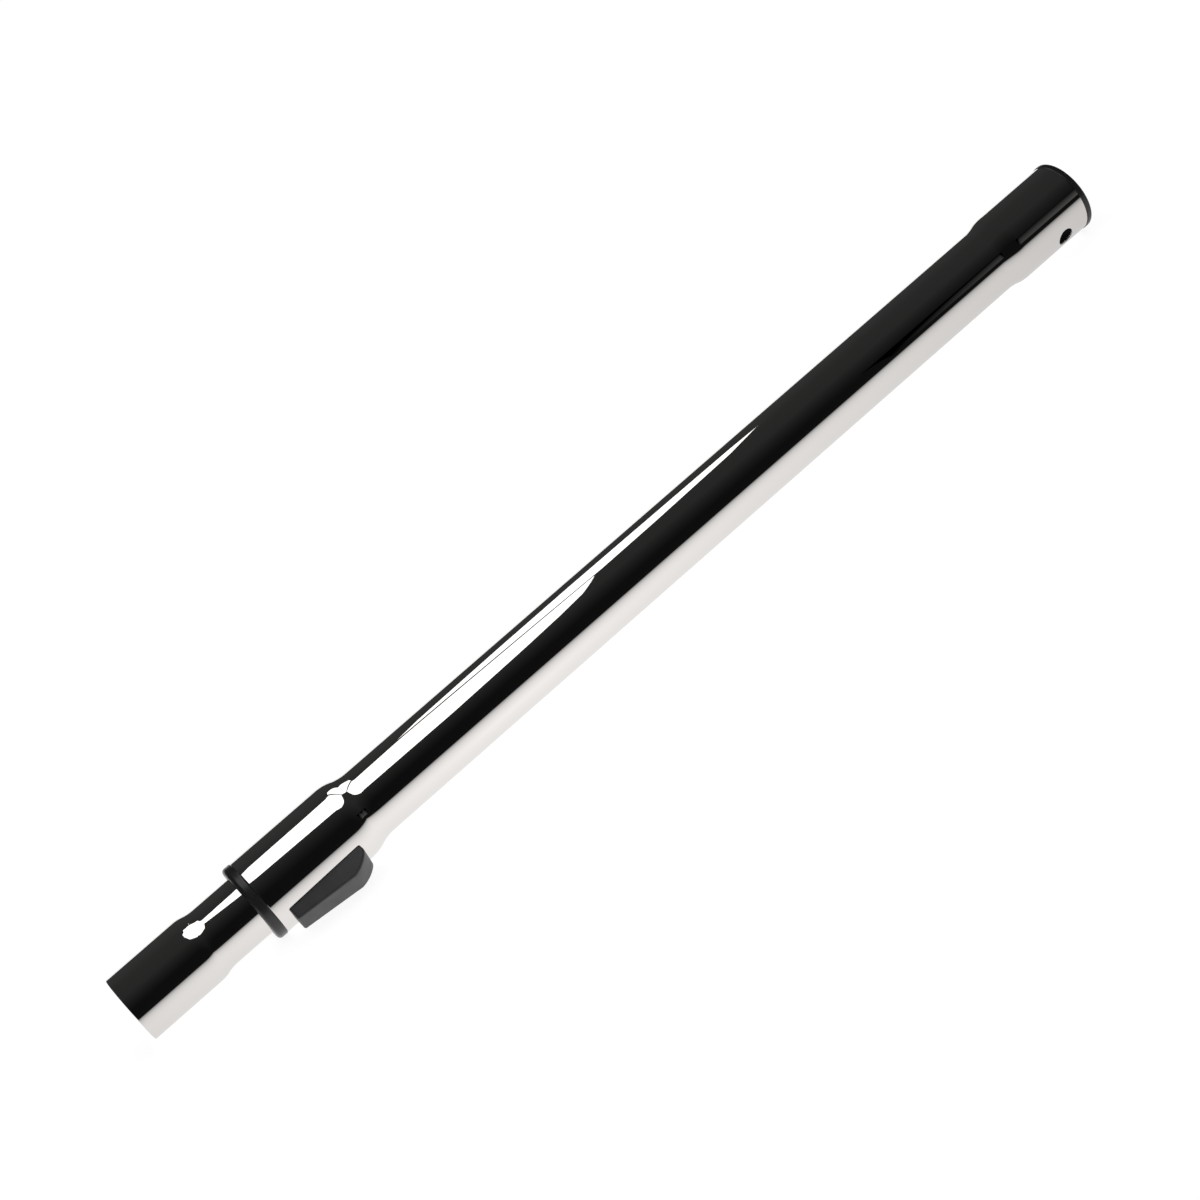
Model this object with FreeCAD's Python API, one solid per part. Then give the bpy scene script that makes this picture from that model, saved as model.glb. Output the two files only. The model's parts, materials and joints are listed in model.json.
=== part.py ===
import FreeCAD, Part
import math
import os
from FreeCAD import Vector

# Telescopic vacuum wand, collapsed. It lies along +X from the tool end to the handle end, in millimetres.
# Each piece is made with the slide button straight up, and the whole wand is then rolled on to its rest.

# Steel tubes
steel_wall = 0.8
inner_od = 32.0
outer_od = 35.0
tool_od = 35.0
tool_length = 38.6
tool_taper = 10.5
tube_edge_round = 0.4
bell_lip_round = 0.6
stub_length = 69.9
bell_od = 41.0
bell_length = 51.2
bell_taper = 16.0
straight_length = 409.7
socket_taper = 13.0
socket_od = 38.4
socket_length = 40.4
inner_end_setback = 4.0
latch_hole_diameter = 9.4
latch_hole_setback = 15.6

# Collar and guide sleeve
collar_od = 41.2
collar_length = 5.0
collar_round = 2.0
collar_rear_round = 0.3
sleeve_end_setback = 0.5
floor_thickness = 0.9
cheek_groove_depth = 0.5
lug_width = 5.2
lug_length = 3.8
lug_height_below_skin = 0.2
post_thickness = 1.4
post_height = 2.2
spring_peg_radius = 0.5
spring_peg_length = 2.0

# Wiper seal in the collar
seal_depth = 1.4
seal_width = 2.0
seal_lip = 1.6
seal_gap = 0.05

# Socket liner and its end rim
handle_bore = 35.2
rim_od = 39.0
rim_length = 3.5
rim_round = 1.0
rim_chamfer = 0.7
liner_stop = 3.5

# Bush on the inner end of the inner tube
bush_length = 30.0
bush_lip = 1.5

# Lock row and lock parts
detent_pitch = 16.0
detent_depth = 1.5
lock_offset = 29.0
button_travel = 4.0
pawl_lift = 1.6
pawl_width = 6.2
toe_radius = 1.75
pawl_head = 1.4
pin_radius = 0.8
cheek_thickness = 1.45
cheek_web = 0.85
cheek_overrun = 2.5
slide_thickness = 2.0
slide_flange = 1.3
front_bridge = 3.9
rear_bridge = 4.4

# Return springs
spring_room = 12.0
spring_radius = 1.0
spring_wire = 0.4
spring_turns = 7

# Slide button cap
cap_front_setback = 6.5
cap_length = 45.6
cap_peak_setback = 13.7
cap_front_height = 25.2
cap_peak_height = 28.4
cap_end_bulge = 2.3
cap_heel_round = 3.5
cap_base_front_width = 15.9
cap_base_rear_width = 18.2
cap_top_front_width = 10.4
cap_top_rear_width = 14.8
cap_wall = 1.7
cap_edge_round = 1.1
leg_length = 2.4
leg_width = 6.0
leg_peg_length = 1.4
leg_peg_width = 3.0

# Clearances
slide_fit = 0.2
seat_fit = 0.1
pin_fit = 0.05
guide_fit = 0.15
running_gap = 0.3

# Radii that follow from the tubes
inner_r = inner_od / 2
outer_r = outer_od / 2
bell_r = bell_od / 2
socket_r = socket_od / 2
collar_r = collar_od / 2
bell_bore = bell_r - steel_wall
tube_bore = outer_r - steel_wall
socket_bore = socket_r - steel_wall
sleeve_bore = inner_r + slide_fit
sleeve_r = bell_bore - seat_fit
liner_r = socket_bore - seat_fit
handle_r = handle_bore / 2
bush_r = tube_bore - guide_fit
cap_seat_r = bell_r + running_gap

# Stations along the wand
bell_start = stub_length + collar_length
bell_end = bell_start + bell_length
tube_start = bell_end + bell_taper
tube_end = tube_start + straight_length
socket_start = tube_end + socket_taper
socket_end = socket_start + socket_length
rim_end = socket_end + rim_length
sleeve_end = bell_end - sleeve_end_setback
inner_end = tube_end - inner_end_setback
latch_hole_x = socket_end - latch_hole_setback
lock_x = bell_start + lock_offset

# Lock row: as many pitches as the inner tube can slide before its bush meets the sleeve
slide_room = inner_end - bush_length - sleeve_end
detent_steps = int(slide_room // detent_pitch)
detent_radius = toe_radius + guide_fit
detent_axis_z = inner_r - detent_depth + detent_radius

# Heights of the lock stack above the wand's axis
toe_z = inner_r - detent_depth + seat_fit + toe_radius
floor_z = sleeve_bore + floor_thickness
groove_z = floor_z - cheek_groove_depth
plate_z = floor_z + seat_fit
plate_top = plate_z + slide_thickness
cheek_z = groove_z + seat_fit
cam_half = pin_radius + pin_fit
pin_z = cheek_z + cheek_web + cam_half
cheek_top = pin_z + pawl_lift + cam_half + cheek_web
pawl_top = pin_z + pawl_head
spring_z = floor_z + pin_fit + spring_radius

# Half widths of the lock stack
pawl_half = pawl_width / 2
cheek_inner = pawl_half + slide_fit + guide_fit
cheek_outer = cheek_inner + cheek_thickness
cheek_middle = (cheek_inner + cheek_outer) / 2
cheek_half = cheek_thickness / 2
slot_half = cheek_outer + slide_fit
flange_half = slot_half + slide_flange
channel_half = flange_half + slide_fit
pin_half = cheek_outer - seat_fit
lug_half = lug_width / 2
spring_t = lug_half + running_gap + seat_fit + spring_radius

# Stations of the lock parts
window_half = toe_radius + guide_fit
post_end = window_half + post_thickness
opening_front = lock_x - post_end - running_gap
opening_rear = lock_x + post_end + button_travel + running_gap
slide_front = opening_front - front_bridge
slide_rear = opening_rear + rear_bridge
channel_front = slide_front - spring_room
channel_rear = slide_rear + slide_fit
cheek_front = lock_x - cheek_overrun
cheek_rear = lock_x + button_travel + cheek_overrun
front_leg_x = (slide_front + opening_front) / 2
rear_leg_x = (slide_rear + opening_rear) / 2
slot_front = front_leg_x - leg_length / 2 - button_travel - running_gap
slot_rear = rear_leg_x + leg_length / 2 + running_gap
lug_rear = slide_front - button_travel - lug_length / 2
lug_front = lug_rear - lug_length

# Stations of the cap
cap_front = bell_start + cap_front_setback
cap_rear = cap_front + cap_length
cap_peak_x = cap_rear - cap_peak_setback
cap_base_z = plate_z

axis_x = Vector(1, 0, 0)
axis_y = Vector(0, 1, 0)
axis_z = Vector(0, 0, 1)
origin = Vector(0, 0, 0)


# Solids of revolution about the wand's axis, from stations along it

def ease(x1, r1, x2, r2):
    """Two equal tangent arcs that carry a radius smoothly from r1 to r2."""
    length = x2 - x1
    rise = r2 - r1
    radius = (length * length + rise * rise) / (4 * abs(rise))
    half_turn = math.asin(abs(length) / (2 * radius)) / 2
    along = math.copysign(radius * math.sin(half_turn), length)
    up = math.copysign(radius * (1 - math.cos(half_turn)), rise)
    start = Vector(x1, 0, r1)
    middle = Vector((x1 + x2) / 2, 0, (r1 + r2) / 2)
    end = Vector(x2, 0, r2)
    first = Part.Arc(start, Vector(x1 + along, 0, r1 + up), middle)
    second = Part.Arc(middle, Vector(x2 - along, 0, r2 - up), end)
    return [first.toShape(), second.toShape()]


def line(x1, r1, x2, r2):
    return Part.LineSegment(Vector(x1, 0, r1), Vector(x2, 0, r2)).toShape()


def path(stations):
    """Edges through (x, r) stations: level or square runs are lines, and slanting ones are eased."""
    edges = []
    for (x1, r1), (x2, r2) in zip(stations, stations[1:]):
        if x1 == x2 or r1 == r2:
            edges.append(line(x1, r1, x2, r2))
        else:
            edges.extend(ease(x1, r1, x2, r2))
    return edges


def revolve(edges):
    wire = Part.Wire(Part.__sortEdges__(edges))
    return Part.Face(wire).revolve(origin, axis_x, 360)


def drawn_tube(stations, wall):
    """A thin tube whose bore follows its outside at one wall thickness."""
    bore = [(x, r - wall) for x, r in stations]
    first = stations[0]
    last = stations[-1]
    ends = [
        line(first[0], first[1], first[0], first[1] - wall),
        line(last[0], last[1], last[0], last[1] - wall),
    ]
    return revolve(path(stations) + path(bore) + ends)


def turned(corners):
    """A ring of square-cornered section, from its (x, r) corners in order."""
    return revolve(path(corners + corners[:1]))


def ring(x1, x2, r1, r2):
    return turned([(x1, r1), (x2, r1), (x2, r2), (x1, r2)])


def rod_x(x1, x2, radius, y=0.0, z=0.0):
    return Part.makeCylinder(radius, x2 - x1, Vector(x1, y, z), axis_x)


def rod_y(x, z, radius, half):
    return Part.makeCylinder(radius, 2 * half, Vector(x, -half, z), axis_y)


def block(x1, x2, y1, y2, z1, z2):
    return Part.makeBox(x2 - x1, y2 - y1, z2 - z1, Vector(x1, y1, z1))


def circles_at(shape, x, radius):
    """The round edges about the wand's axis at one station and radius."""
    found = []
    for edge in shape.Edges:
        curve = edge.Curve
        if isinstance(curve, Part.Circle) and abs(curve.Radius - radius) < 1e-6:
            if abs(curve.Center.x - x) < 1e-6 and abs(curve.Axis.x) > 0.999:
                found.append(edge)
    return found


def rounded_rim(shape, places, size):
    edges = []
    for x, radius in places:
        edges.extend(circles_at(shape, x, radius))
    return shape.makeFillet(size, edges)


# Steel tubes

def make_outer_tube():
    stations = [
        (bell_start, bell_r),
        (bell_end, bell_r),
        (tube_start, outer_r),
        (tube_end, outer_r),
        (socket_start, socket_r),
        (socket_end, socket_r),
    ]
    tube = drawn_tube(stations, steel_wall)
    tube = rounded_rim(tube, [(bell_start, bell_r)], bell_lip_round)
    slot = block(slot_front, slot_rear, -slot_half, slot_half, 0, collar_od)
    corners = [edge for edge in slot.Edges if edge.tangentAt(edge.FirstParameter).isEqual(axis_z, 1e-6)]
    slot = slot.makeFillet(steel_wall, corners)
    notch_half = lug_half + slide_fit
    notch = block(lug_front - slide_fit, slot_front + steel_wall, -notch_half, notch_half, 0, collar_od)
    hole = Part.makeCylinder(latch_hole_diameter / 2, socket_od, Vector(latch_hole_x, 0, 0), axis_z)
    return tube.cut([slot, notch, hole])


def make_inner_tube():
    """The inner tube with its stamped row of detents: the wall is pushed in and keeps its thickness."""
    stations = [
        (0.0, tool_od / 2),
        (tool_length, tool_od / 2),
        (tool_length + tool_taper, inner_r),
        (inner_end, inner_r),
    ]
    tube = drawn_tube(stations, steel_wall)
    tube = rounded_rim(tube, [(0.0, tool_od / 2)], tube_edge_round)
    half = pawl_half + 2 * slide_fit
    troughs = []
    bosses = []
    for step in range(detent_steps + 1):
        x = lock_x + step * detent_pitch
        troughs.append(rod_y(x, detent_axis_z, detent_radius, half))
        bosses.append(rod_y(x, detent_axis_z, detent_radius + steel_wall, half + steel_wall))
    skin = rod_x(tool_length + tool_taper, inner_end, inner_r)
    pressed = Part.makeCompound(bosses).common(skin)
    return tube.fuse(pressed).cut(troughs)


# Plastic and rubber rings

def make_guide_sleeve():
    seal_start = stub_length + seal_lip
    seal_end = seal_start + seal_width + 2 * seat_fit
    seal_r = sleeve_bore + seal_depth + seat_fit
    sleeve = turned([
        (stub_length, sleeve_bore),
        (seal_start, sleeve_bore),
        (seal_start, seal_r),
        (seal_end, seal_r),
        (seal_end, sleeve_bore),
        (sleeve_end, sleeve_bore),
        (sleeve_end, sleeve_r),
        (bell_start, sleeve_r),
        (bell_start, collar_r),
        (stub_length, collar_r),
    ])
    sleeve = rounded_rim(sleeve, [(stub_length, collar_r)], collar_round)
    step_round = min(collar_rear_round, abs(collar_r - sleeve_r) / 2)
    sleeve = rounded_rim(sleeve, [(bell_start, collar_r)], step_round)
    channel = block(channel_front, channel_rear, -channel_half, channel_half, floor_z, collar_od)
    groove_front = cheek_front - button_travel - running_gap
    groove_rear = cheek_rear + running_gap
    groove_half = cheek_half + guide_fit
    grooves = [
        block(groove_front, groove_rear, side - groove_half, side + groove_half, groove_z, collar_od)
        for side in (-cheek_middle, cheek_middle)
    ]
    sleeve = sleeve.cut([channel] + grooves)
    lug = block(lug_front, lug_rear, -lug_half, lug_half, floor_z - seat_fit, collar_od)
    lug = lug.common(rod_x(lug_front, lug_rear, bell_r - lug_height_below_skin))
    post_top = floor_z + post_height
    posts = block(
        lock_x - post_end, lock_x + post_end, -pawl_half, pawl_half, floor_z - seat_fit, post_top
    )
    pegs = [
        rod_x(channel_front - seat_fit, channel_front + spring_peg_length, spring_peg_radius, side, spring_z)
        for side in (-spring_t, spring_t)
    ]
    sleeve = sleeve.fuse([lug, posts] + pegs)
    window_t = pawl_half + guide_fit
    window = block(lock_x - window_half, lock_x + window_half, -window_t, window_t, 0, collar_od)
    return sleeve.cut(window)


def make_wiper_seal():
    start = stub_length + seal_lip + seat_fit
    return ring(start, start + seal_width, inner_r + seal_gap, sleeve_bore + seal_depth)


def make_rear_bush():
    return turned([
        (inner_end - bush_length, inner_r + pin_fit),
        (inner_end, inner_r + pin_fit),
        (inner_end, inner_r - steel_wall),
        (inner_end + bush_lip, inner_r - steel_wall),
        (inner_end + bush_lip, bush_r),
        (inner_end - bush_length, bush_r),
    ])


def make_socket_liner():
    liner = turned([
        (socket_start + liner_stop, handle_r),
        (rim_end, handle_r),
        (rim_end, rim_od / 2),
        (socket_end, rim_od / 2),
        (socket_end, liner_r),
        (socket_start + liner_stop, liner_r),
    ])
    liner = rounded_rim(liner, [(rim_end, rim_od / 2), (socket_end, rim_od / 2)], rim_round)
    liner = liner.makeChamfer(rim_chamfer, circles_at(liner, rim_end, handle_r))
    hole = Part.makeCylinder(latch_hole_diameter / 2, socket_od, Vector(latch_hole_x, 0, 0), axis_z)
    return liner.cut(hole)


# Lock parts

def cam_slot():
    """The slanting slot in the cheeks that lifts the cross pin as the slide moves."""
    rise = Vector(button_travel, 0, pawl_lift)
    across = Vector(-pawl_lift, 0, button_travel).normalize() * cam_half
    low = Vector(lock_x, -channel_half, pin_z)
    high = low + rise
    ahead = Vector(button_travel, 0, pawl_lift).normalize() * cam_half
    edges = [
        Part.LineSegment(low + across, high + across).toShape(),
        Part.Arc(high + across, high + ahead, high - across).toShape(),
        Part.LineSegment(high - across, low - across).toShape(),
        Part.Arc(low - across, low - ahead, low + across).toShape(),
    ]
    return Part.Face(Part.Wire(edges)).extrude(Vector(0, 2 * channel_half, 0))


def make_control_slide():
    plate = block(slide_front, slide_rear, -flange_half, flange_half, plate_z, plate_top)
    plate = plate.common(rod_x(slide_front, slide_rear, bell_bore - slide_fit))
    opening = block(opening_front, opening_rear, -cheek_inner, cheek_inner, 0, collar_od)
    cheeks = [
        block(cheek_front, cheek_rear, side - cheek_half, side + cheek_half, cheek_z, cheek_top)
        for side in (-cheek_middle, cheek_middle)
    ]
    peg_holes = [
        block(
            x - leg_peg_length / 2 - seat_fit, x + leg_peg_length / 2 + seat_fit,
            -leg_peg_width / 2 - seat_fit, leg_peg_width / 2 + seat_fit, 0, collar_od,
        )
        for x in (front_leg_x, rear_leg_x)
    ]
    return plate.cut([opening] + peg_holes).fuse(cheeks).cut(cam_slot())


def make_lock_pawl():
    shank = block(lock_x - toe_radius, lock_x + toe_radius, -pawl_half, pawl_half, toe_z, pawl_top)
    pawl = shank.fuse(rod_y(lock_x, toe_z, toe_radius, pawl_half)).removeSplitter()
    return pawl.cut(rod_y(lock_x, pin_z, pin_radius + pin_fit / 2, pawl_half + seat_fit))


def make_pawl_pin():
    return rod_y(lock_x, pin_z, pin_radius, pin_half)


def make_return_spring(side):
    coil_r = spring_radius - spring_wire / 2
    end_gap = spring_wire / 2 + pin_fit
    length = spring_room - 2 * end_gap
    helix = Part.makeHelix(length / spring_turns, length, coil_r)
    section = Part.Wire([Part.makeCircle(spring_wire / 2, Vector(coil_r, 0, 0), axis_y)])
    coil = Part.Wire(helix).makePipeShell([section], True, True)
    coil.rotate(origin, axis_y, 90)
    coil.translate(Vector(channel_front + end_gap, side * spring_t, spring_z))
    return coil


# Slide button cap

def cap_block(inset):
    """The cap's outer form, or its hollow where inset is the wall: drafted sides cut to the side profile."""
    front = cap_front + inset
    rear = cap_rear - inset
    peak_x = cap_peak_x - inset / 2
    front_top = cap_front_height - inset
    peak_top = cap_peak_height - inset
    levels = (
        (cap_base_z, cap_base_front_width, cap_base_rear_width),
        (cap_peak_height, cap_top_front_width, cap_top_rear_width),
    )
    wires = []
    for z, front_width, rear_width in levels:
        front_half = front_width / 2 - inset
        rear_half = rear_width / 2 - inset
        wires.append(Part.makePolygon([
            Vector(front, -front_half, z),
            Vector(rear, -rear_half, z),
            Vector(rear, rear_half, z),
            Vector(front, front_half, z),
            Vector(front, -front_half, z),
        ]))
    body = Part.makeLoft(wires, True, True)
    peak = Vector(peak_x, -cap_length, peak_top)
    foot = Vector(rear, -cap_length, cap_base_z)
    chord = foot - peak
    outward = Vector(-chord.z, 0, chord.x).normalize()
    crown = (peak + foot) * 0.5 + outward * cap_end_bulge
    base = Vector(front, -cap_length, cap_base_z)
    brow = Vector(front, -cap_length, front_top)
    edges = [
        Part.LineSegment(base, brow).toShape(),
        Part.LineSegment(brow, peak).toShape(),
        Part.Arc(peak, crown, foot).toShape(),
        Part.LineSegment(foot, base).toShape(),
    ]
    profile = Part.Face(Part.Wire(edges)).extrude(Vector(0, 2 * cap_length, 0))
    form = body.common(profile)
    heel = [edge for edge in form.Edges if edge.BoundBox.XMin > rear - 1e-3]
    return form.makeFillet(cap_heel_round - inset, heel)


def make_slide_button():
    body = cap_block(0.0)
    upper = [edge for edge in body.Edges if edge.BoundBox.ZMax > cap_seat_r + cap_edge_round]
    form = body.makeFillet(cap_edge_round, upper)
    bell = rod_x(bell_start - cap_length, tube_end, cap_seat_r)
    legs = []
    for x in (front_leg_x, rear_leg_x):
        leg = block(x - leg_length / 2, x + leg_length / 2, -leg_width / 2, leg_width / 2, plate_top, cap_peak_height)
        peg = block(
            x - leg_peg_length / 2, x + leg_peg_length / 2,
            -leg_peg_width / 2, leg_peg_width / 2, plate_z + seat_fit, plate_top,
        )
        legs.append(leg.common(form))
        legs.append(peg)
    return form.cut([bell, cap_block(cap_wall)]).fuse(legs)


# Rest: the wand rolls until the rounded top corner of the button is level with the foot of the collar

def resting_roll():
    corner_z = cap_peak_height - cap_edge_round
    corner_t = cap_top_rear_width / 2 - cap_edge_round
    reach = math.hypot(corner_z, corner_t)
    lean = math.degrees(math.atan2(corner_t, corner_z))
    return math.degrees(math.acos(-(collar_r - cap_edge_round) / reach)) - lean


pieces = {
    "outer_tube": make_outer_tube(),
    "inner_tube": make_inner_tube(),
    "guide_sleeve": make_guide_sleeve(),
    "wiper_seal": make_wiper_seal(),
    "socket_liner": make_socket_liner(),
    "rear_bush": make_rear_bush(),
    "slide_button": make_slide_button(),
    "control_slide": make_control_slide(),
    "lock_pawl": make_lock_pawl(),
    "pawl_pin": make_pawl_pin(),
    "return_spring_left": make_return_spring(-1),
    "return_spring_right": make_return_spring(1),
}

os.makedirs("parts", exist_ok=True)
roll = resting_roll()
for name, shape in pieces.items():
    shape.rotate(origin, axis_x, roll)
    shape.exportStep(f"parts/{name}.step")
    print(name, shape.ShapeType, len(shape.Solids), shape.isValid(), round(shape.Volume, 1))
print("roll", round(roll, 4), "length", round(rim_end, 1), "travel", detent_steps * detent_pitch)
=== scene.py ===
import bpy
import json
import math
from mathutils import Matrix, Vector


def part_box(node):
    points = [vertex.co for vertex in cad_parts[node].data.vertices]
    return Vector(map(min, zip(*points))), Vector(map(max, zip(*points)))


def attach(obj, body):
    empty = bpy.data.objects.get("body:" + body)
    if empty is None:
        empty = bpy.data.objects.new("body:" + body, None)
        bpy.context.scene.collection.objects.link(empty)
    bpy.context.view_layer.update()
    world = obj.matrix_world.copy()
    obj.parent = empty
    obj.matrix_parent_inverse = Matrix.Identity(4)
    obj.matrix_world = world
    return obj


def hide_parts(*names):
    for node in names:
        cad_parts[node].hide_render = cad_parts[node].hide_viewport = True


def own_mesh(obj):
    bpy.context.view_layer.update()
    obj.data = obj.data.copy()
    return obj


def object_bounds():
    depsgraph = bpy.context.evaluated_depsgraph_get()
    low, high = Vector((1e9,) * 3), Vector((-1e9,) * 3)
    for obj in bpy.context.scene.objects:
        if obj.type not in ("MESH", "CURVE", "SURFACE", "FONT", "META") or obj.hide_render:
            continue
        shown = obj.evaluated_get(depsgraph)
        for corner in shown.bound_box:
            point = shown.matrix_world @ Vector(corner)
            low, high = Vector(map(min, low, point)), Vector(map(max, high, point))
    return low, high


# A chromed telescopic vacuum wand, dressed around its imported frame. Lengths are in metres.
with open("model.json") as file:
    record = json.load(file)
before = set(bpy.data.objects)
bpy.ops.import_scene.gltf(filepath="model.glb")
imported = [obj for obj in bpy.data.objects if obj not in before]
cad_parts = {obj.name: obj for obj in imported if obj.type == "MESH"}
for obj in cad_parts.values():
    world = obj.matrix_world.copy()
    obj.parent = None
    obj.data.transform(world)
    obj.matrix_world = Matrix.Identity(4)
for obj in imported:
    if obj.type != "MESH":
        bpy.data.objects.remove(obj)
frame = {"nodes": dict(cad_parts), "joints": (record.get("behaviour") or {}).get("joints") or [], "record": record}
cad_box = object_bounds()
nodes = frame["nodes"]
mounts = {mount["name"]: mount for mount in frame["record"]["mounts"]}
joints = {joint["name"]: joint for joint in frame["joints"]}
mm_per_metre = 1000

# Sizes of the steel tubes
steel_wall = 0.0008
tube_radius = 0.0175
stub_radius = 0.016
socket_radius = 0.0192
bell_length = 0.0512
bell_taper = 0.016
socket_length = 0.0404
socket_taper = 0.013
tool_length = 0.0386
tool_taper = 0.0105
tool_edge_round = 0.0004
bell_lip_round = 0.0006

# Cut-outs of the outer tube under the button, with their reach along the wand from the pawl
slot_reach = (-0.01105, 0.0113)
slot_half = 0.0051
notch_reach = (-0.0174, -0.01025)
notch_half = 0.0028

# Pressed row of detents in the inner tube
detent_pitch = 0.016
detent_depth = 0.0015
detent_radius = 0.0019
detent_half = 0.0035
detent_fade = 0.0006

# Return springs
spring_wire = 0.0004
spring_turns = 7
spring_wire_sides = 10
spring_turn_points = 28

# How finely the turned pieces are divided
around = 192
ring_pitch = 0.012
taper_rings = 32
edge_rings = 6
strip_angles = 22
coarse_angles = 80
hole_points = 72
detent_ring_shares = (0, 0.25, 0.5, 0.7, 0.86, 0.96, 1.0, 1.15)
place_digits = 7

# Normals of the turned pieces: the turn that makes an edge sharp, how far a point on the profile
# may lie off it, and how nearly a face has to follow the profile to take its normals
sharp_turn = math.radians(40)
profile_error = 2e-6
profile_likeness = 0.7

# Directions: the button and the latch hole point one way from the wand's axis
along = Vector((1, 0, 0))
button_out = Vector(mounts["latch_hole"]["axis"]).normalized()
button_side = along.cross(button_out)


# Profiles of the turned steel: (x, radius) stations, joined by level runs and eased tapers

def outer_stations():
    low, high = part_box("outer_tube")
    bell_end = low.x + bell_length
    socket_start = high.x - socket_length
    return [
        (low.x, high.z),
        (bell_end, high.z),
        (bell_end + bell_taper, tube_radius),
        (socket_start - socket_taper, tube_radius),
        (socket_start, socket_radius),
        (high.x, socket_radius),
    ]


def inner_stations():
    low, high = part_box("inner_tube")
    return [
        (low.x, high.z),
        (low.x + tool_length, high.z),
        (low.x + tool_length + tool_taper, stub_radius),
        (high.x, stub_radius),
    ]


def profile_at(stations, x):
    """Radius and slope of the profile at one place along the wand. A taper is two equal arcs."""
    for (x1, r1), (x2, r2) in zip(stations, stations[1:]):
        if x <= x2:
            break
    if r1 == r2:
        return r1, 0.0
    length = x2 - x1
    rise = r2 - r1
    arc = (length ** 2 + rise ** 2) / (4 * abs(rise))
    in_first = x - x1 < length / 2
    near = x - x1 if in_first else x2 - x
    level = math.sqrt(arc ** 2 - near ** 2)
    shift = math.copysign(arc - level, rise)
    radius = r1 + shift if in_first else r2 - shift
    return radius, math.copysign(near / level, rise)


def ring_places(stations, extra=()):
    """Places of the rings: close together on the tapers, wider apart on the level runs."""
    places = set(extra)
    for (x1, r1), (x2, r2) in zip(stations, stations[1:]):
        count = taper_rings if r1 != r2 else max(1, math.ceil((x2 - x1) / ring_pitch))
        for step in range(count + 1):
            places.add(round(x1 + (x2 - x1) * step / count, place_digits))
    return sorted(places)


# Outlines of flat shapes

def both_ways(half):
    return -half, half


def rectangle(first_span, second_span):
    (a1, a2), (b1, b2) = first_span, second_span
    return [(a1, b1), (a2, b1), (a2, b2), (a1, b2)]


def circle(x, radius):
    turns = [2 * math.pi * k / hole_points for k in range(hole_points)]
    return [(x + radius * math.cos(turn), radius * math.sin(turn)) for turn in turns]


# Meshes

def new_piece(name, points, faces, materials):
    mesh = bpy.data.meshes.new(name)
    mesh.from_pydata(points, [], faces)
    for material in materials:
        mesh.materials.append(material)
    piece = bpy.data.objects.new(name, mesh)
    bpy.context.scene.collection.objects.link(piece)
    return piece


def no_dent(x, angle):
    return 0.0


def turned_shell(name, rings, angles, materials, dent=no_dent):
    """A thin tube: rings of (x, outer radius, inner radius), with the bore as the second material."""
    points = []
    for surface in (1, 2):
        for ring in rings:
            for angle in angles:
                radius = ring[surface] - dent(ring[0], angle)
                direction = button_out * math.cos(angle) + button_side * math.sin(angle)
                points.append(along * ring[0] + direction * radius)
    count = len(angles)
    bore = len(rings) * count
    faces = []
    for step in range(len(rings) - 1):
        for k in range(count):
            a = step * count + k
            b = step * count + (k + 1) % count
            faces.append((a, b, b + count, a + count))
            faces.append((bore + a, bore + a + count, bore + b + count, bore + b))
    last = (len(rings) - 1) * count
    for k in range(count):
        n = (k + 1) % count
        faces.append((k, bore + k, bore + n, n))
        faces.append((last + k, last + n, bore + last + n, bore + last + k))
    piece = new_piece(name, points, faces, materials)
    for polygon in piece.data.polygons:
        polygon.material_index = int(all(index >= bore for index in polygon.vertices))
    return piece


def even_angles():
    return [2 * math.pi * k / around for k in range(around)]


def row_angles():
    """Angles round the inner tube, close together where the row of detents runs."""
    strip = (detent_half + 2 * detent_fade) / stub_radius
    fine = [strip * (2 * k / strip_angles - 1) for k in range(strip_angles + 1)]
    rest = 2 * math.pi - 2 * strip
    coarse = [strip + rest * k / coarse_angles for k in range(1, coarse_angles)]
    return fine + coarse


def tube_rings(places, stations, edge_round):
    """Rings of (x, outer radius, inner radius) for a tube whose first edge is rounded outside."""
    start, radius = stations[0]
    rings = []
    for step in range(edge_rings + 1):
        turn = math.pi / 2 * step / edge_rings
        x = start + edge_round * (1 - math.cos(turn))
        rings.append((x, radius - edge_round * (1 - math.sin(turn))))
    rings.extend((x, profile_at(stations, x)[0]) for x in places if x > start + edge_round)
    return [(x, r, profile_at(stations, x)[0] - steel_wall) for x, r in rings]


def true_normals(piece, stations):
    """Gives the turned faces the exact normals of their profile, so that they mirror cleanly."""
    mesh = piece.data
    mesh.polygons.foreach_set("use_smooth", [True] * len(mesh.polygons))
    mesh.set_sharp_from_angle(angle=sharp_turn)
    smooth = [vertex.normal.copy() for vertex in mesh.vertices]
    normals = [None] * len(mesh.loops)
    for polygon in mesh.polygons:
        face = polygon.normal.copy()
        for loop in polygon.loop_indices:
            index = mesh.loops[loop].vertex_index
            point = mesh.vertices[index].co
            radius, slope = profile_at(stations, point.x)
            radial = Vector((0, point.y, point.z))
            off = min(abs(radial.length - radius), abs(radial.length - radius + steel_wall))
            normal = (radial.normalized() - along * slope).normalized()
            if normal.dot(face) < 0:
                normal.negate()
            if off > profile_error:
                normals[loop] = smooth[index]
            elif normal.dot(face) > profile_likeness:
                normals[loop] = normal
            else:
                normals[loop] = face
    exact = mesh.attributes.new("custom_normal", "FLOAT_VECTOR", "CORNER")
    exact.data.foreach_set("vector", [value for normal in normals for value in normal])
    mesh.update()


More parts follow.
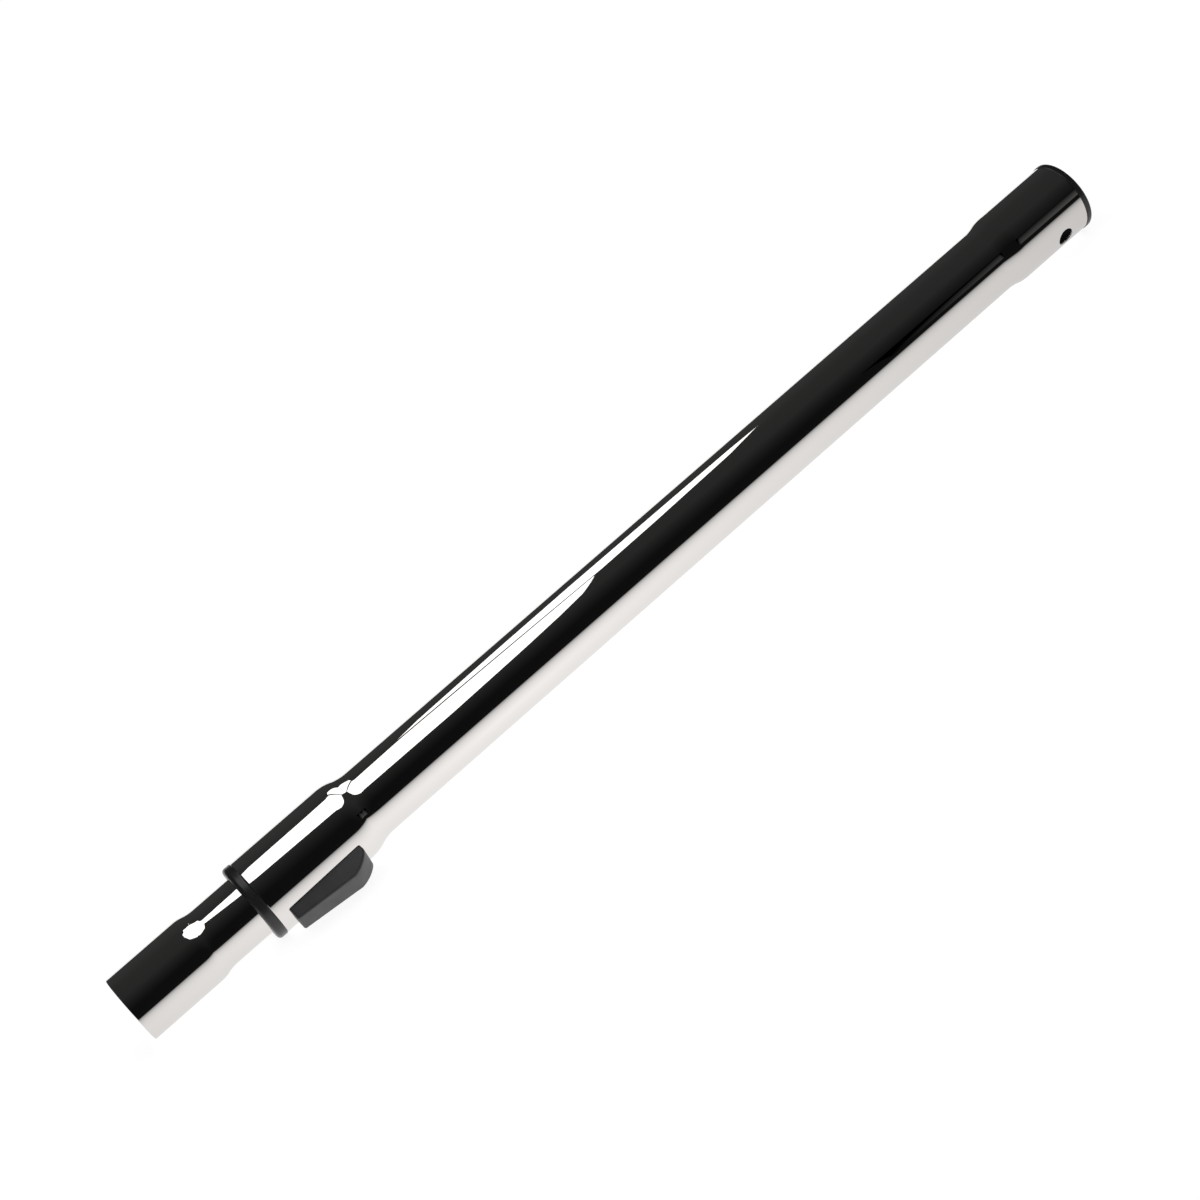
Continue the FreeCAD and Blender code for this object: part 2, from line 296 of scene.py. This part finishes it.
def cut(piece, cutter):
    """Cuts a closed cutter out of a piece and deletes the cutter."""
    modifier = piece.modifiers.new("cut", "BOOLEAN")
    modifier.operation = "DIFFERENCE"
    modifier.solver = "EXACT"
    modifier.object = cutter
    graph = bpy.context.evaluated_depsgraph_get()
    mesh = bpy.data.meshes.new_from_object(piece.evaluated_get(graph))
    piece.modifiers.clear()
    piece.data = mesh
    bpy.data.objects.remove(cutter)


def prism(outline, low, high):
    """A closed cutter: an outline of (x, side) points, drawn out along the button's direction."""
    count = len(outline)
    points = [
        along * x + button_side * side + button_out * height
        for height in (low, high)
        for x, side in outline
    ]
    faces = [tuple(range(count)), tuple(reversed(range(count, 2 * count)))]
    for k in range(count):
        n = (k + 1) % count
        faces.append((n, k, k + count, n + count))
    cutter = new_piece("cutter", points, faces, steel_finishes)
    cutter.data.polygons.foreach_set("material_index", [cut_finish] * len(faces))
    return cutter


def dress(piece, node, body):
    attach(piece, body)
    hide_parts(node)


# Materials

noise_span = (0.3, 0.7)
plastic_tone_change = 0.15
plastic_gloss_change = 0.05
steel_gloss_change = 0.1


class Finish:
    """One procedural material: a principled shader and short ways to add noise to it."""

    def __init__(self, name, colour, metallic, roughness):
        self.material = bpy.data.materials.new(name)
        self.material.use_nodes = True
        self.tree = self.material.node_tree
        self.shader = self.tree.nodes["Principled BSDF"]
        self.shader.inputs["Base Color"].default_value = (*colour, 1)
        self.shader.inputs["Metallic"].default_value = metallic
        self.shader.inputs["Roughness"].default_value = roughness
        self.place = self.tree.nodes.new("ShaderNodeTexCoord").outputs["Object"]
        self.bumps = None

    def link(self, output, socket):
        self.tree.links.new(output, socket)

    def noise(self, size, stretch=1.0, detail=2.0):
        """Noise with features of one size, drawn out along the wand by stretch."""
        mapping = self.tree.nodes.new("ShaderNodeMapping")
        mapping.inputs["Scale"].default_value = (1 / (size * stretch), 1 / size, 1 / size)
        self.link(self.place, mapping.inputs["Vector"])
        texture = self.tree.nodes.new("ShaderNodeTexNoise")
        texture.inputs["Scale"].default_value = 1.0
        texture.inputs["Detail"].default_value = detail
        self.link(mapping.outputs["Vector"], texture.inputs["Vector"])
        return texture.outputs["Fac"]

    def between(self, source, low, high):
        """Spreads the values that noise mostly takes over the range from low to high."""
        node = self.tree.nodes.new("ShaderNodeMapRange")
        node.inputs["From Min"].default_value = noise_span[0]
        node.inputs["From Max"].default_value = noise_span[1]
        node.inputs["To Min"].default_value = low
        node.inputs["To Max"].default_value = high
        self.link(source, node.inputs["Value"])
        return node.outputs["Result"]

    def vary_roughness(self, source, low, high):
        self.link(self.between(source, low, high), self.shader.inputs["Roughness"])

    def vary_colour(self, source, dark, light):
        node = self.tree.nodes.new("ShaderNodeMix")
        node.data_type = "RGBA"
        node.inputs["A"].default_value = (*dark, 1)
        node.inputs["B"].default_value = (*light, 1)
        self.link(self.between(source, 0.0, 1.0), node.inputs["Factor"])
        self.link(node.outputs["Result"], self.shader.inputs["Base Color"])

    def bump(self, source, depth):
        node = self.tree.nodes.new("ShaderNodeBump")
        node.inputs["Strength"].default_value = 1.0
        node.inputs["Distance"].default_value = depth
        self.link(source, node.inputs["Height"])
        if self.bumps is not None:
            self.link(self.bumps, node.inputs["Normal"])
        self.bumps = node.outputs["Normal"]
        self.link(self.bumps, self.shader.inputs["Normal"])


def shade(colour, factor):
    return tuple(channel * factor for channel in colour)


def chrome():
    finish = Finish("chrome_plating", (0.79, 0.765, 0.745), metallic=1.0, roughness=0.03)
    finish.vary_roughness(finish.noise(size=0.02, stretch=2.5, detail=4.0), low=0.012, high=0.03)
    finish.bump(finish.noise(size=0.03, stretch=3.0, detail=1.0), depth=0.00005)
    return finish.material


def bore_steel():
    finish = Finish("bore_steel", (0.42, 0.42, 0.43), metallic=1.0, roughness=0.4)
    finish.vary_roughness(finish.noise(size=0.0006, stretch=30.0, detail=3.0), low=0.3, high=0.5)
    finish.bump(finish.noise(size=0.0004, stretch=40.0), depth=0.000004)
    return finish.material


def cut_steel():
    finish = Finish("cut_steel", (0.72, 0.72, 0.73), metallic=0.3, roughness=0.45)
    finish.vary_roughness(finish.noise(size=0.0005), low=0.38, high=0.52)
    finish.bump(finish.noise(size=0.0003), depth=0.00001)
    return finish.material


def moulded(name, colour, roughness, grain=0.0004, depth=0.000006):
    """Moulded plastic or rubber: a fine even grain, with slight changes of gloss and tone."""
    finish = Finish(name, colour, metallic=0.0, roughness=roughness)
    dark = shade(colour, 1 - plastic_tone_change)
    light = shade(colour, 1 + plastic_tone_change)
    finish.vary_colour(finish.noise(size=0.012, detail=3.0), dark, light)
    dull = roughness + plastic_gloss_change
    glossy = roughness - plastic_gloss_change
    finish.vary_roughness(finish.noise(size=0.008, detail=3.0), glossy, dull)
    finish.bump(finish.noise(size=grain), depth)
    return finish.material


def drawn_steel(name, colour, roughness):
    finish = Finish(name, colour, metallic=1.0, roughness=roughness)
    dull = roughness + steel_gloss_change
    glossy = roughness - steel_gloss_change
    finish.vary_roughness(finish.noise(size=0.0003, stretch=12.0), glossy, dull)
    finish.bump(finish.noise(size=0.00015, stretch=15.0), depth=0.000003)
    return finish.material


chromed_steel = chrome()
steel_finishes = [chromed_steel, bore_steel(), cut_steel()]
cut_finish = 2
finishes = {
    "chromed_steel": chromed_steel,
    "collar_plastic": moulded("collar_plastic", (0.018, 0.018, 0.019), roughness=0.3),
    "rim_plastic": moulded("rim_plastic", (0.016, 0.016, 0.017), roughness=0.32),
    "button_plastic": moulded(
        "button_plastic", (0.045, 0.045, 0.047), roughness=0.46, grain=0.0003, depth=0.000012
    ),
    "slide_plastic": moulded("slide_plastic", (0.32, 0.32, 0.33), roughness=0.4),
    "bush_plastic": moulded("bush_plastic", (0.05, 0.05, 0.05), roughness=0.4),
    "seal_rubber": moulded(
        "seal_rubber", (0.026, 0.026, 0.026), roughness=0.65, grain=0.0002, depth=0.000008
    ),
    "lock_steel": drawn_steel("lock_steel", (0.55, 0.55, 0.56), roughness=0.3),
    "spring_steel": drawn_steel("spring_steel", (0.5, 0.5, 0.5), roughness=0.32),
}
for subpart in frame["record"]["subparts"]:
    for material_slot in nodes[subpart["node"]].material_slots:
        material_slot.material = finishes[subpart["material_slot"]]


# Steel tubes, divided finely enough to mirror

def detent_places():
    """Middles of the detents, the first of them under the pawl."""
    low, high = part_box("lock_pawl")
    first = (low.x + high.x) / 2
    steps = round(joints["telescope"]["range_m"][1] / detent_pitch)
    return [first + step * detent_pitch for step in range(steps + 1)]


def make_outer_tube():
    stations = outer_stations()
    rings = tube_rings(ring_places(stations), stations, bell_lip_round)
    tube = turned_shell("outer_tube_shell", rings, even_angles(), steel_finishes)
    hole = mounts["latch_hole"]
    pawl_x = detent_places()[0]
    outlines = [
        circle(hole["pos_m"][0], hole["dims"]["r_mm"] / mm_per_metre),
        rectangle([pawl_x + reach for reach in slot_reach], both_ways(slot_half)),
        rectangle([pawl_x + reach for reach in notch_reach], both_ways(notch_half)),
    ]
    for outline in outlines:
        cut(tube, prism(outline, low=tube_radius / 2, high=2 * tube_radius))
    true_normals(tube, stations)
    dress(tube, "outer_tube", "wand_body")


def make_inner_tube():
    stations = inner_stations()
    detents = detent_places()
    axis_height = stub_radius - detent_depth + detent_radius
    reach = math.sqrt(detent_radius ** 2 - (detent_radius - detent_depth) ** 2)

    def dent(x, angle):
        """How far the wall is pressed in: a round-bottomed trough that fades at its two ends."""
        offset = min(abs(x - place) for place in detents)
        side = abs(math.sin(angle)) * stub_radius
        if offset >= reach or math.cos(angle) < 0 or side > detent_half + detent_fade:
            return 0.0
        floor = axis_height - math.sqrt(detent_radius ** 2 - offset ** 2)
        depth = max(0.0, stub_radius * math.cos(angle) - floor)
        fade = min(1.0, (detent_half + detent_fade - side) / (2 * detent_fade))
        return depth * fade * fade * (3 - 2 * fade)

    offsets = [sign * share * reach for share in detent_ring_shares for sign in (-1, 1)]
    extra = [round(x + offset, place_digits) for x in detents for offset in offsets]
    rings = tube_rings(ring_places(stations, extra), stations, tool_edge_round)
    tube = turned_shell("inner_tube_shell", rings, row_angles(), steel_finishes, dent)
    true_normals(tube, stations)
    dress(tube, "inner_tube", "inner_wand")


# Return springs: coils of round wire, built at rest; in the wand they close up as the button slides, which this
# script does not model

def make_return_spring(node):
    low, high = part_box(node)
    centre = (low + high) / 2
    coil = (high.z - low.z - spring_wire) / 2
    start = low.x + spring_wire / 2
    length = high.x - low.x - spring_wire
    steps = spring_turns * spring_turn_points
    points = []
    for step in range(steps + 1):
        turn = 2 * math.pi * step / spring_turn_points
        outward = Vector((0, math.cos(turn), math.sin(turn)))
        middle = Vector((start + length * step / steps, centre.y, centre.z)) + outward * coil
        for side in range(spring_wire_sides):
            swing = 2 * math.pi * side / spring_wire_sides
            direction = outward * math.cos(swing) + along * math.sin(swing)
            points.append(middle + direction * spring_wire / 2)
    first_end = tuple(range(spring_wire_sides))
    last_end = tuple(reversed(range(steps * spring_wire_sides, len(points))))
    faces = [first_end, last_end]
    for step in range(steps):
        for side in range(spring_wire_sides):
            a = step * spring_wire_sides + side
            b = step * spring_wire_sides + (side + 1) % spring_wire_sides
            faces.append((b, a, a + spring_wire_sides, b + spring_wire_sides))
    spring = new_piece(node + "_coil", points, faces, [finishes["spring_steel"]])
    spring.data.polygons.foreach_set("use_smooth", [True] * len(faces))
    dress(spring, node, "wand_body")
    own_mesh(spring)


make_outer_tube()
make_inner_tube()
make_return_spring("return_spring_left")
make_return_spring("return_spring_right")


# Stage: a pale light table under soft light, with softboxes and cards that only mirrors see

floor_height = cad_box[0].z
floor_half = 40.0
floor_glow = 0.88
floor_colour = 0.35
overhead_strength = 1.2
overhead_spread = math.radians(100)
backdrop = 1.0

# Softboxes: level outlines of (x, y) points above the wand
softbox_height = 0.4
softbox_glow = 1.7
near_softbox = [
    (0.043, -0.02), (0.078, -0.108), (0.095, -0.138), (0.19, -0.176), (0.26, -0.184),
    (0.32, -0.147), (0.35, -0.112), (0.368, -0.07), (0.383, 0.078), (0.225, 0.21),
    (0.14, 0.156), (0.095, 0.145), (0.078, 0.082), (0.043, 0.058),
]
far_softbox = [
    (0.226, 0.262), (0.252, 0.345), (0.34, 0.43), (0.41, 0.455), (0.55, 0.355),
    (0.565, 0.297), (0.516, 0.168), (0.44, 0.107), (0.391, 0.092),
]

# Dark card on the near side, low along the table, seen only in mirrors: a painted dark reflection in the chrome
card_distance = 0.165
card_top = 0.009
card_half = 2.0
card_glow = 0.006

# Dim panel further off on the near side, beyond the handle end
panel_distance = 1.2
panel_glow = 0.085
panel_centre = (1.26, 0.05)
panel_fade = (0.3, 0.45)

# Painted reflection: a glowing sheet between the wand and the card that only mirrors see, standing in for a lit
# strip of table
table_rise = 0.0001
painted_table_reflection = 1.12
table_centre = (0.22, -0.03)
table_fade = (1.1, 0.16)
table_near_edge = -0.004

# Tones of the room, from the near side to the far side
room_tones = [(0.05, 0.0055), (0.33, 0.025), (0.7, 0.028), (0.95, 0.038)]


def stage_sheet(name, corners, glow, colour=0.0, only_mirrors=True):
    """A flat sheet of the studio that glows evenly. Returns its finish."""
    finish = Finish(name, (colour,) * 3, metallic=0.0, roughness=0.9)
    finish.shader.inputs["Specular IOR Level"].default_value = 0.0
    finish.shader.inputs["Emission Color"].default_value = (1, 1, 1, 1)
    finish.shader.inputs["Emission Strength"].default_value = glow
    sheet = new_piece(name, corners, [tuple(range(len(corners)))], [finish.material])
    if only_mirrors:
        sheet.visible_camera = False
        sheet.visible_diffuse = False
        sheet.visible_shadow = False
        sheet.visible_transmission = False
    return finish


def fade_out(finish, centre, reach):
    """Makes a sheet's glow fall from its centre to nothing at a reach along each axis."""
    mapping = finish.tree.nodes.new("ShaderNodeMapping")
    mapping.vector_type = "TEXTURE"
    mapping.inputs["Location"].default_value = centre
    mapping.inputs["Scale"].default_value = reach
    finish.link(finish.place, mapping.inputs["Vector"])
    gradient = finish.tree.nodes.new("ShaderNodeTexGradient")
    gradient.gradient_type = "SPHERICAL"
    finish.link(mapping.outputs["Vector"], gradient.inputs["Vector"])
    finish.link(gradient.outputs["Color"], finish.shader.inputs["Emission Color"])


def level_corners(outline, height):
    return [Vector((x, y, height)) for x, y in outline]


def upright_corners(outline, distance):
    return [Vector((x, -distance, z)) for x, z in outline]


def make_floor():
    square = level_corners(rectangle(both_ways(floor_half), both_ways(floor_half)), floor_height)
    stage_sheet("floor", square, floor_glow, floor_colour, only_mirrors=False)


def make_lights():
    stage_sheet("far_softbox", level_corners(far_softbox, softbox_height), softbox_glow)
    stage_sheet("near_softbox", level_corners(near_softbox, softbox_height), softbox_glow)
    data = bpy.data.lights.new("overhead", "SUN")
    data.energy = overhead_strength
    data.angle = overhead_spread
    overhead = bpy.data.objects.new("overhead", data)
    overhead.visible_glossy = False
    bpy.context.scene.collection.objects.link(overhead)


def make_cards():
    card = rectangle(both_ways(card_half), (floor_height, card_top))
    # Painted dark reflection: a dark card that only mirrors see
    stage_sheet("dark_card", upright_corners(card, card_distance), card_glow)
    x, z = panel_centre
    wide, tall = panel_fade
    panel = rectangle((x - wide, x + wide), (z, z + tall))
    finish = stage_sheet("dim_panel", upright_corners(panel, panel_distance), panel_glow)
    fade_out(finish, (x, -panel_distance, z), (wide, 1, tall))


def make_painted_table_reflection():
    """Painted reflection of a lit strip of table: a glowing sheet that only mirrors see, brightest just behind the
    bell.
    """
    strip = rectangle(both_ways(card_half), (-card_distance, table_near_edge))
    height = floor_height + table_rise
    finish = stage_sheet("painted_table_reflection", level_corners(strip, height), painted_table_reflection)
    fade_out(finish, (*table_centre, height), (*table_fade, 1))


def make_world():
    """A dim room, darkest on the near side. The camera sees the floor's pale tone instead."""
    world = bpy.data.worlds.new("studio")
    world.use_nodes = True
    tree = world.node_tree
    direction = tree.nodes.new("ShaderNodeTexCoord").outputs["Generated"]
    split = tree.nodes.new("ShaderNodeSeparateXYZ")
    tree.links.new(direction, split.inputs["Vector"])
    depth = tree.nodes.new("ShaderNodeMapRange")
    depth.inputs["From Min"].default_value = -1.0
    tree.links.new(split.outputs["Y"], depth.inputs["Value"])
    room = tree.nodes.new("ShaderNodeValToRGB")
    stops = room.color_ramp.elements
    while len(stops) < len(room_tones):
        stops.new(1.0)
    for stop, (place, tone) in zip(stops, room_tones):
        stop.position = place
        stop.color = (tone, tone, tone, 1)
    tree.links.new(depth.outputs["Result"], room.inputs["Fac"])
    seen = tree.nodes.new("ShaderNodeLightPath").outputs["Is Camera Ray"]
    choice = tree.nodes.new("ShaderNodeMix")
    choice.data_type = "RGBA"
    choice.inputs["B"].default_value = (backdrop, backdrop, backdrop, 1)
    tree.links.new(seen, choice.inputs["Factor"])
    tree.links.new(room.outputs["Color"], choice.inputs["A"])
    tree.links.new(choice.outputs["Result"], tree.nodes["Background"].inputs["Color"])
    bpy.context.scene.world = world


# Camera: the photograph's viewing angle, with the wand rising to the upper right

camera_lens = 69.0
camera_target = Vector((0.2874, 0, 0))
camera_distance = 1.098
camera_toward_tool = math.radians(13)
camera_rise = math.radians(28.89)
wand_rise = math.radians(41.14)


def make_camera():
    back = Vector((
        -math.sin(camera_toward_tool),
        -math.cos(camera_toward_tool) * math.cos(camera_rise),
        math.cos(camera_toward_tool) * math.sin(camera_rise),
    ))
    wand = (along - back * along.dot(back)).normalized()
    across = back.cross(wand)
    right = wand * math.cos(wand_rise) - across * math.sin(wand_rise)
    up = wand * math.sin(wand_rise) + across * math.cos(wand_rise)
    data = bpy.data.cameras.new("camera")
    data.lens = camera_lens
    data.clip_end = 2 * floor_half
    camera = bpy.data.objects.new("camera", data)
    turn = Matrix((right, up, back)).transposed().to_4x4()
    camera.matrix_world = Matrix.Translation(camera_target + back * camera_distance) @ turn
    bpy.context.scene.collection.objects.link(camera)
    bpy.context.scene.camera = camera


make_floor()
make_lights()
make_cards()
make_painted_table_reflection()
make_world()
make_camera()
bpy.context.scene.view_settings.view_transform = "Standard"
